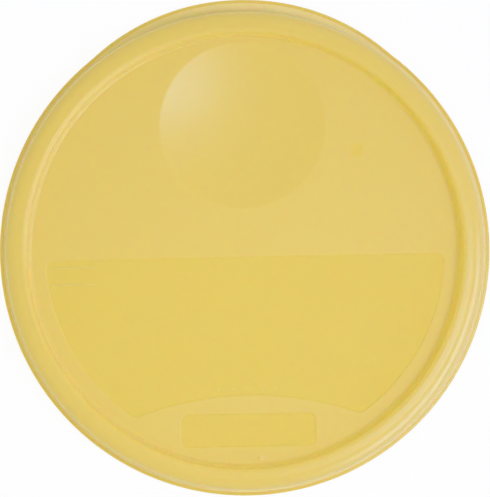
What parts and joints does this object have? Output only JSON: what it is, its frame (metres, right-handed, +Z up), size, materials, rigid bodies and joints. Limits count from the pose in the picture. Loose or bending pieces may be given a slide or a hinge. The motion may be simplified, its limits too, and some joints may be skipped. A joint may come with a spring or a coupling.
{
  "type": "clip-on container lid",
  "caption": "Round clip-on lid with a recessed floor, thumb dish, textured writing field and pull tab, which clips over a container's rolled rim.",
  "frame": {"origin": "on the lid's axis, in the plane that the lid stands on", "axes": "+Z up along the lid's axis, out of its recessed floor; +Y towards the pull tab; +X to the right seen from above with the tab at the top"},
  "size_m": [0.264, 0.2673, 0.019],
  "materials": {
    "lid_gloss": "smooth, slightly waxy, slightly translucent yellow polyethylene",
    "lid_texture": "fine-grained matt yellow polyethylene"
  },
  "bodies": {
    "root": {"plug_wall": "lid_gloss", "rim_crown": "lid_gloss", "skirt_wall": "lid_gloss", "snap_bead": "lid_gloss", "seal_rib": "lid_gloss", "grip_lip": "lid_gloss", "floor_panel": "lid_gloss", "thumb_dish": "lid_gloss", "insert_mark": "lid_gloss", "mould_pip": "lid_gloss", "writing_field": "lid_texture", "plain_plate": "lid_texture", "dot_row": "lid_texture", "label_rules": "lid_texture"}
  },
  "joints": []
}
